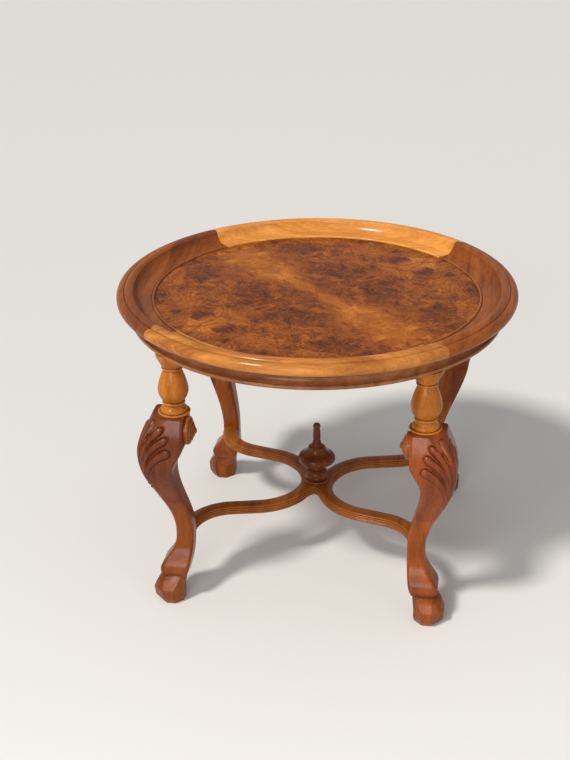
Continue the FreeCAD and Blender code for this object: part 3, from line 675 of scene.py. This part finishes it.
def carving(s, z):
    """Height of the carving over the leg's skin, and its painted light there: painted shade in the
    grooves, painted highlight on the lobes and fillets.
    """
    if z < SHELL_FOOT or s > SHELL_SIDE or z > KNEE_TOP - 1:
        return 0.0, PLAIN
    lift, edge, strength, inside, light = -FAR, FAR, 0.0, False, 0.0
    # Lobes and fillets get a painted highlight on their backs.
    for line, top, power, highlight_share in SHELL_SHAPES:
        gap, half, rise = nearest(line, s, z)
        away = abs(gap - 1) * half
        if away < edge:
            edge, strength = away, rise
        if gap < 1:
            inside = True
            dome = (1 - gap * gap) ** power
            here = rise * (-GROUND_DEPTH + (GROUND_DEPTH + top) * dome)
            if here > lift:
                lift, light = here, highlight_share * (1 - gap * gap)
    for bead_s, bead_z, radius in TAIL_BEADS:
        gap = math.hypot(s - bead_s, z - bead_z) / radius
        if gap < 1 and not inside:
            return BEAD_TOP * math.sqrt(1 - gap * gap), PLAIN
    if not inside:
        lift = -GROUND_DEPTH * strength * math.exp(-((edge / GROUND_FADE) ** 2))
    # Painted shade in the grooves round the lobes and fillets.
    painted_groove_shade = 0.48 * strength * math.exp(-((edge / GROOVE_SHADE_WIDTH) ** 2))
    return lift, min(1.0, max(0.0, PLAIN + light - painted_groove_shade))


def leg_section(z):
    """A ring of points round the leg at a height, from the outer corner, and their shades."""
    out, inn = outer_line(z), inner_line(z)
    soft, inner_soft = corner_lines(z)
    outwards, upwards = outward(z)
    ring, shades = [], []

    def put(x, y, nx, ny, way=None):
        lift, shade = (0.0, PLAIN) if way is None else carving(way, z)
        ring.append((x + nx * lift * outwards, y + ny * lift * outwards, z + lift * upwards))
        shades.append(shade)

    def corner(cx, cy, radius, start, count=CORNER_STEPS, carved=False):
        for k in range(count + 1):
            t = math.radians(start + 90 * k / count)
            way = radius * abs(t - math.pi / 4) if carved else None
            nx, ny = math.cos(t), math.sin(t)
            put(cx + radius * nx, cy + radius * ny, nx, ny, way)

    def side(a, b, nx, ny, count=FACE_STEPS, ways=None):
        for k in range(1, count):
            t = k / count
            put(*between(a, b, t), nx, ny, mix(*ways, t) if ways else None)

    # The corners' middles lie at these places along each axis.
    middle, near, far = out - soft, inner_soft - inn, out - inner_soft
    start_way = soft * math.pi / 4
    end_way = start_way + out - soft + inn - inner_soft
    corner(middle, middle, soft, 0, CARVED_CORNER_STEPS, True)
    side((middle, out), (near, out), 0, 1, CARVED_FACE_STEPS, (start_way, end_way))
    corner(near, far, inner_soft, 90)
    side((-inn, far), (-inn, near), -1, 0)
    corner(near, near, inner_soft, 180)
    side((near, -inn), (far, -inn), 0, -1)
    corner(far, near, inner_soft, 270)
    side((out, near), (out, middle), 1, 0, CARVED_FACE_STEPS, (end_way, start_way))
    return ring, shades


def leg_body():
    """The sawn leg from its cuff to the top of its knee, with the carving."""
    stages = ((CUFF, CUFF_TOP, 8), (CUFF_TOP, SHELL_FOOT, 56), (SHELL_FOOT, KNEE_TOP, 180))
    heights = [mix(low, high, k / count) for low, high, count in stages for k in range(count)]
    rows, shades = [], []
    for z in heights + [KNEE_TOP]:
        ring, values = leg_section(z)
        # Painted highlight along the cuff's lower edge and the knee's top edge.
        if z < CUFF + 3 or z > KNEE_TOP - 0.5:
            values = [EDGE_HIGHLIGHT] * len(ring)
        rows.append(ring)
        shades += values
    return grid(rows, shades)


def hoof_ring(out, inn, chamfer, z):
    cut = HOOF_CUT * chamfer
    corners = [
        (out - chamfer, out), (cut - inn, out), (-inn, out - cut), (-inn, cut - inn),
        (cut - inn, -inn), (out - cut, -inn), (out, cut - inn), (out, out - chamfer)]
    return [(x, y, z) for x, y in corners]


def hoof_body():
    """The hoof under the cuff, with painted shade in the groove under it and at its sole."""
    rows, shades = [], []
    for (z0, *a), (z1, *b) in zip(HOOF_STAGES, HOOF_STAGES[1:]):
        for k in range(HOOF_STEPS):
            t = k / HOOF_STEPS
            z = mix(z0, z1, t)
            rows.append(hoof_ring(*[mix(p, q, t) for p, q in zip(a, b)], z))
            # Painted shade: darkest where the hoof meets the cuff, fading below it, and a little at
            # the sole.
            near_cuff = max(0.0, 1 - (CUFF - z) / CUFF_SHADOW)
            shades.append(PLAIN - 0.42 * near_cuff if z < CUFF else 0.06)
    rows.append(hoof_ring(*HOOF_STAGES[-1][1:], 0.0))
    shades.append(0.4)
    return grid(rows[::-1], [shade for shade in shades[::-1] for _ in rows[0]])


def place_leg(source, side_x, side_y, cuts):
    """A copy of the leg at its corner of the table, cut down to one glued piece."""
    bm = source.copy()
    for point, normal in cuts:
        cut_away(bm, point, normal)
    shift = Matrix.Translation((LEG_AXIS * MM, LEG_AXIS * MM, 0))
    place = Matrix.Diagonal((side_x, side_y, 1, 1)) @ shift
    bmesh.ops.transform(bm, matrix=place, verts=bm.verts)
    bmesh.ops.recalc_face_normals(bm, faces=bm.faces)
    return bm


LEG_WOODS = {       # lightest colour, darkest colour, a material slot's name that nothing uses
    "post": ((0.36, 0.080, 0.003), (0.18, 0.034, 0.001), "post_wood"),
    "knee_side_block": ((0.25, 0.052, 0.008), (0.11, 0.021, 0.004), "knee_wood"),
    "knee_face_block": ((0.27, 0.057, 0.009), (0.12, 0.023, 0.004), "knee_wood"),
    "foot_side_block": ((0.29, 0.066, 0.009), (0.14, 0.028, 0.004), "foot_wood"),
    "foot_face_block": ((0.33, 0.076, 0.008), (0.16, 0.033, 0.004), "foot_wood"),
}
LEG_SHARP = 40                  # degrees
LEG_TONES = {"back_right": 0.9, "back_left": 0.85, "front_left": 0.8, "front_right": 1.0}
X_PLANE, Y_PLANE, SPLIT = X * GLUE * MM, Y * GLUE * MM, Z * ANKLE * MM
BLOCKS = {          # planes that cut the piece out of the leg, each with the side cut off
    "post": ((X_PLANE, X), (Y_PLANE, Y)),
    "knee_side_block": ((X_PLANE, -X), (SPLIT, -Z)),
    "knee_face_block": ((X_PLANE, X), (Y_PLANE, -Y), (SPLIT, -Z)),
    "foot_side_block": ((X_PLANE, -X), (SPLIT, Z)),
    "foot_face_block": ((X_PLANE, X), (Y_PLANE, -Y), (SPLIT, Z)),
}


def sawn_pieces(corner_name, side_x, side_y, seed, leg_mesh, hoof_mesh):
    tone = LEG_TONES[corner_name]
    for kind, cuts in BLOCKS.items():
        node = "leg_" + corner_name + "_" + kind
        bm = place_leg(leg_mesh, side_x, side_y, cuts)
        if not kind.startswith("knee"):
            hoof = place_leg(hoof_mesh, side_x, side_y, cuts[:2])
            extra = bpy.data.meshes.new("extra")
            hoof.to_mesh(extra)
            bm.from_mesh(extra)
            hoof.free()
            bpy.data.meshes.remove(extra)
        *colours, slot = LEG_WOODS[kind]
        light, dark = [tuple(tone * v for v in colour) for colour in colours]
        material = wood(
            node + "_wood", light, dark, "z", seed, coat=0.4, streaks=1.0, shine=0.24)
        finish_piece(node, bm, material, LEG_SHARP)


# ------------------------------------------------------------------ the legs' turned parts
PIN_RADIUS, PIN_LENGTH, TENON_RADIUS = 10.0, 34.0, 12.0
LIP_RADIUS, COLLAR_RADIUS, LOWER_NECK, LOWER_RING = 27.6, 22.7, 16.9, 19.5
VASE_RADIUS, VASE_NECK, UPPER_RING, CONE_RADIUS = 26.0, 14.8, 18.4, 27.0
ROSETTE_RADIUS, ROSETTE_HEIGHT, ROSETTE_SEAT = 24.5, 18.5, 1.5
ROSETTE_Z, ROSETTE_OUT = 338.0, 12.5    # its middle: height, and out along the knee's face


def turned_top_profile():
    """The vase with its rings, its pin in the post and its tenon in the moulded ring. The lower
    places are heights over the knee's top, and the upper ones are depths under the ring."""
    lip, top = KNEE_TOP, RING_BOTTOM
    return trace(
        (0, lip - PIN_LENGTH), (PIN_RADIUS, lip - PIN_LENGTH), (PIN_RADIUS, lip),
        (26.6, lip), ((LIP_RADIUS, lip + 1.4), (26.6, lip + 2.8), 8), (23.2, lip + 3.2),
        ((COLLAR_RADIUS, lip + 6.0), (21.3, lip + 9.0), 8),
        ((17.6, lip + 13.25), (LOWER_NECK, lip + 17.5), 8),
        (18.7, lip + 17.5), ((LOWER_RING, lip + 19.1), (18.7, lip + 20.7), 8),
        (17.1, lip + 22.0), ((24.3, 399.5), (VASE_RADIUS, 411.0), 14),
        ((22.4, 427.0), (VASE_NECK, top - 29.5), 16),
        (17.6, top - 28.7), ((UPPER_RING, top - 27.1), (17.6, top - 25.5), 8),
        (17.1, top - 24.5), ((20.94, top - 17.4), (CONE_RADIUS, top - 5.0), 10),
        (CONE_RADIUS, top), (TENON_RADIUS, top), (TENON_RADIUS, RIM_BOTTOM), (0, RIM_BOTTOM),
    )


def rosette_profile():
    """Rings stepping up to a point, over the seat that is let into the knee."""
    r, h = ROSETTE_RADIUS, ROSETTE_HEIGHT
    return trace(
        (0, -ROSETTE_SEAT), (r, -ROSETTE_SEAT),
        (r, 0.20 * h), ((r - 0.8, 0.36 * h), (r * 0.86, 0.42 * h), 8),
        (r * 0.80, 0.34 * h), ((r * 0.74, 0.54 * h), (r * 0.60, 0.60 * h), 8),
        (r * 0.55, 0.50 * h), ((r * 0.48, 0.71 * h), (r * 0.34, 0.76 * h), 8),
        (r * 0.30, 0.67 * h), round_end(r * 0.30, 0.67 * h, h),
    )


def turned_pieces(corner_name, side_x, side_y, seed):
    node = "leg_" + corner_name + "_turned_top"
    bm = to_bmesh(*turned(turned_top_profile(), (LEG_AXIS * side_x, LEG_AXIS * side_y)))
    amber = (0.50, 0.160, 0.018), (0.27, 0.072, 0.007)
    finish_piece(node, bm, wood(node + "_wood", *amber, "z", 10.0 + seed, 0.4))
    face, out = LEG_AXIS - KNEE_IN, LEG_AXIS + ROSETTE_OUT
    brown = (0.32, 0.088, 0.011), (0.15, 0.036, 0.005)
    for letter in "ab":
        node = "leg_" + corner_name + "_rosette_" + letter
        verts, faces, shades = turned(rosette_profile())
        if letter == "a":
            verts = [(side_x * (face - z), side_y * (out + y), ROSETTE_Z + x) for x, y, z in verts]
        else:
            verts = [(side_x * (out + x), side_y * (face - z), ROSETTE_Z + y) for x, y, z in verts]
        material = wood(node + "_wood", *brown, "z", 20.0 + seed)
        finish_piece(node, to_bmesh(verts, faces, shades), material)


def make_legs():
    leg_mesh, hoof_mesh = to_bmesh(*leg_body()), to_bmesh(*hoof_body())
    for index, corner in enumerate(CORNERS):
        seed = 20.0 + index
        sawn_pieces(*corner, seed, leg_mesh, hoof_mesh)
        turned_pieces(*corner, seed)


# ------------------------------------------------------------------ the stretcher
BOW_TOP, BOW_THICKNESS, BOW_WIDTH = 131.0, 17.0, 28.0
BOW_OFFSET = 16.5               # middle of the bow from the glue joint
BOW_CENTRE_RADIUS = 101.0       # its bend there
BOW_RUN = math.radians(14.0)    # heading of the straight run to the leg, from the X axis
CROTCH_RADIUS, CROTCH_HEADING = 31.0, math.radians(35.5)    # where the two bows part
BOW_EDGE, BOW_CROWN, BOW_CROWN_DROP, REED_BULGE = 5.0, 9.0, 1.2, 1.1
CROTCH_ROWS, BEND_ROWS, END_ROWS = 24, 32, 40
BOW_LET_IN = 2.0                # how far the bow's end reaches past the post's inner face
BOW_SHARP = 30                  # degrees
FINIAL_TENON_RADIUS, FINIAL_TENON_LENGTH, FINIAL_HEIGHT = 6.0, 11.0, 121.0
SEAT_RADIUS, BOSS_RADIUS, NECK_RADIUS, DISC_RADIUS = 23.5, 21.8, 9.5, 34.5
CUP_RADIUS, SPINDLE_RADIUS, KNOB_RADIUS = 15.5, 6.5, 6.8


def half_bow_profile():
    """Half of a bow's section, from the middle of its foot round the reeds to its crown."""
    half, foot = BOW_WIDTH / 2, BOW_TOP - BOW_THICKNESS
    lean = BOW_EDGE * (1 - math.sqrt(0.5))
    grooves = ((half - 0.8, BOW_TOP - 10.4), (half - 1.3, BOW_TOP - 7.2),
               (mix(BOW_CROWN, half, 0.46), BOW_TOP - 4.0), (BOW_CROWN, BOW_TOP - BOW_CROWN_DROP))
    reeds = []
    for (r, z), (next_r, next_z) in zip(grooves, grooves[1:]):
        out = REED_BULGE / math.hypot(next_r - r, next_z - z)
        middle = ((r + next_r) / 2 + (next_z - z) * out, (z + next_z) / 2 + (r - next_r) * out)
        reeds.append((middle, (next_r, next_z), 6))
    crown_middle = (BOW_CROWN / 2, BOW_TOP - BOW_CROWN_DROP / 4)
    return refined(trace(
        (0, foot), (half - BOW_EDGE, foot),
        ((half - lean, foot + lean), (half, foot + BOW_EDGE), 6),
        (half, grooves[0][1] - 0.8), grooves[0], *reeds, (crown_middle, (0, BOW_TOP), 6),
    ), 2.0)


def bow_rows():
    """Rows of (plan place, direction to the right half, place and direction of the left half)
    from the middle of the right bow to the back right leg. In the thickened middle the left
    half leaves the right one and follows the crotch."""
    centre = (BOW_OFFSET + BOW_CENTRE_RADIUS, 0.0)
    crotch_x = -CROTCH_RADIUS * math.sin(CROTCH_HEADING)
    reach = BOW_CENTRE_RADIUS + BOW_WIDTH / 2 + CROTCH_RADIUS
    crotch_y = math.sqrt(reach ** 2 - (centre[0] - crotch_x) ** 2)
    meeting = math.atan2(crotch_y, centre[0] - crotch_x)
    crotch_reach = CROTCH_RADIUS + BOW_WIDTH / 2

    def on_centre_bend(angle):
        way = (math.cos(angle), -math.sin(angle))
        return (centre[0] - BOW_CENTRE_RADIUS * way[0], -BOW_CENTRE_RADIUS * way[1]), way

    rows = [(*on_centre_bend(0.0), (crotch_x, 0.0), (0.0, 1.0))]
    for k in range(CROTCH_ROWS + 1):
        t = k / CROTCH_ROWS
        angle = mix(-math.pi / 2, -meeting, t)
        way = (math.cos(angle), math.sin(angle))
        left = (crotch_x + crotch_reach * way[0], crotch_y + crotch_reach * way[1])
        rows.append((*on_centre_bend(mix(0.0, meeting, t)), left, (-way[0], -way[1])))

    def both_halves(place, heading):
        right = (math.sin(heading), -math.cos(heading))
        rows.append((place, right, place, (-right[0], -right[1])))

    for k in range(1, BEND_ROWS + 1):
        angle = mix(meeting, math.pi / 2 - BOW_RUN, k / BEND_ROWS)
        both_halves(on_centre_bend(angle)[0], math.pi / 2 - angle)
    start_x, start_y = rows[-1][0]
    left_x = LEG_AXIS - (ANKLE_IN - ANKLE_OUT) / 2 - start_x
    left_y = LEG_AXIS - inner_line(BOW_TOP - BOW_THICKNESS / 2) + BOW_LET_IN - start_y
    cos_run, sin_run = math.cos(BOW_RUN), math.sin(BOW_RUN)
    run = (left_x * cos_run - left_y * (1 - sin_run)) / (1 - sin_run)
    radius = (left_y * cos_run - left_x * sin_run) / (1 - sin_run)
    end_x, end_y = start_x + run * cos_run, start_y + run * sin_run
    for k in range(1, END_ROWS + 1):
        heading = mix(BOW_RUN, math.pi / 2, k / END_ROWS)
        place_x = end_x + radius * (math.sin(heading) - sin_run)
        place_y = end_y + radius * (cos_run - math.cos(heading))
        both_halves((place_x, place_y), heading)
    return rows


def bow(side, material):
    """The right bow (side 1) or the left one (side -1), from one quarter mirrored in Y."""
    profile = half_bow_profile()
    shades = creases(profile)

    def half_ring(place, way, points):
        return [(place[0] + way[0] * n, place[1] + way[1] * n, z) for n, z in points]

    quarter = [
        half_ring(right, right_way, profile) + half_ring(left, left_way, profile[::-1])
        for right, right_way, left, left_way in bow_rows()]
    rows = [[(x, -y, z) for x, y, z in ring] for ring in quarter[:0:-1]] + quarter
    bm = to_bmesh(*grid(rows, (shades + shades[::-1]) * len(rows)))
    cut_away(bm, Vector((0, 0, 0)), -X)
    bmesh.ops.transform(bm, matrix=Matrix.Diagonal((side, 1, 1, 1)), verts=bm.verts)
    node = "stretcher_bow_" + ("right" if side > 0 else "left")
    finish_piece(node, bm, material, BOW_SHARP)


def finial_profile():
    """The finial, from its tenon in the stretcher up over its boss, disc and spindle."""
    seat = BOW_TOP - 1
    top, foot = seat + FINIAL_HEIGHT, seat - FINIAL_TENON_LENGTH
    knob = (KNOB_RADIUS, top - 4.6)
    return trace(
        (0, foot), (FINIAL_TENON_RADIUS, foot), (FINIAL_TENON_RADIUS, seat), (22.7, seat),
        ((SEAT_RADIUS, seat + 3.0), (22.7, seat + 5.8), 8), (19.4, seat + 6.6),
        ((BOSS_RADIUS, seat + 14.0), (16.2, seat + 25.0), 12),
        ((NECK_RADIUS, seat + 32.0), (14.0, seat + 38.5), 12), (30.5, seat + 41.5),
        ((DISC_RADIUS, seat + 48.5), (31.5, seat + 55.5), 12), (29.9, seat + 56.8),
        ((21.4, seat + 61.5), (CUP_RADIUS, seat + 72.5), 10), (14.1, seat + 73.4),
        ((9.8, seat + 77.5), (7.3, seat + 84.0), 8), (SPINDLE_RADIUS, seat + 85.0),
        ((7.0, seat + 96.0), (5.5, top - 9.0), 8), (KNOB_RADIUS, top - 8.4), knob,
        round_end(*knob, top),
    )


def make_stretcher():
    bow(1, wood("bow_right_wood", (0.31, 0.084, 0.010), (0.15, 0.035, 0.004), "y", 50.0))
    bow(-1, wood("bow_left_wood", (0.34, 0.094, 0.011), (0.16, 0.039, 0.005), "y", 51.0))
    dark = wood("finial_wood", (0.20, 0.05, 0.016), (0.09, 0.02, 0.007), "z", 60.0)
    finish_piece("finial", to_bmesh(*turned(finial_profile())), dark)


# ------------------------------------------------------------------ stage, light and camera
# Places are in metres.
FLOOR_REACH, FLOOR_COLOUR = 30.0, (0.70, 0.69, 0.67)
WORLD_STRENGTH = 0.42
LAMPS = (       # name, kind, place, target, settings
    ("key", "SUN", (-1.5, -1.9, 3.4), (0, 0, 0.3), {
        "energy": 2.5, "angle": math.radians(9), "color": (1.0, 0.97, 0.92)}),
    ("fill", "AREA", (2.6, -2.4, 1.6), (0, 0, 0.3), {
        "shape": "DISK", "size": 2.2, "energy": 10, "color": (0.95, 0.97, 1.0)}),
    ("front", "AREA", (-0.36, -2.5, 1.36), (0, 0, 0.2), {
        "shape": "RECTANGLE", "size": 1.1, "size_y": 0.9, "energy": 24}),
)
# The photograph's viewpoint. The film's width spans the longer side of the photograph.
CAMERA_PLACE = (0.3331, -2.2601, 1.4376)
CAMERA_HEADING, CAMERA_PITCH = math.radians(9.826), math.radians(25.695)
CAMERA_ROLL = math.radians(0.652)
FILM_WIDTH, LENS_PIXELS, PHOTO_HEIGHT = 36.0, 1400, 760


def floor():
    mesh = bpy.data.meshes.new("floor")
    reach = FLOOR_REACH
    corners = [(-reach, -reach, 0), (reach, -reach, 0), (reach, reach, 0), (-reach, reach, 0)]
    mesh.from_pydata(corners, [], [(0, 1, 2, 3)])
    made = bpy.data.objects.new("floor", mesh)
    bpy.context.scene.collection.objects.link(made)
    material, tree = new_tree("pale_floor")
    inputs = {"Base Color": (*FLOOR_COLOUR, 1), "Roughness": 0.9}
    surface = add(tree, "ShaderNodeBsdfPrincipled", inputs)
    add(tree, "ShaderNodeOutputMaterial", {"Surface": surface.outputs[0]})
    mesh.materials.append(material)


def lights():
    for name, kind, place, target, settings in LAMPS:
        data = bpy.data.lights.new(name, kind)
        for key, value in settings.items():
            setattr(data, key, value)
        lamp = bpy.data.objects.new(name, data)
        lamp.location = place
        way = Vector(target) - Vector(place)
        lamp.rotation_euler = way.to_track_quat("-Z", "Y").to_euler()
        bpy.context.scene.collection.objects.link(lamp)


def studio():
    """One soft white world, the same for light, reflections and the background."""
    world = bpy.data.worlds.new("studio")
    world.use_nodes = True
    tree = world.node_tree
    tree.nodes.clear()
    inputs = {"Color": (1, 1, 1, 1), "Strength": WORLD_STRENGTH}
    soft = add(tree, "ShaderNodeBackground", inputs)
    add(tree, "ShaderNodeOutputWorld", {"Surface": soft.outputs[0]})
    bpy.context.scene.world = world


def make_camera():
    data = bpy.data.cameras.new("camera")
    data.sensor_width = FILM_WIDTH
    data.sensor_fit = "AUTO"
    data.lens = FILM_WIDTH * LENS_PIXELS / PHOTO_HEIGHT
    camera = bpy.data.objects.new("camera", data)
    turn = Matrix.Rotation(CAMERA_HEADING, 4, "Z")
    turn @= Matrix.Rotation(math.pi / 2 - CAMERA_PITCH, 4, "X")
    turn @= Matrix.Rotation(-CAMERA_ROLL, 4, "Z")
    camera.matrix_world = Matrix.Translation(CAMERA_PLACE) @ turn
    bpy.context.scene.collection.objects.link(camera)
    bpy.context.scene.camera = camera


make_camera()
finish_cad_nodes()
make_top()
make_legs()
make_stretcher()
floor()
lights()
studio()
bpy.context.scene.view_settings.view_transform = "Standard"
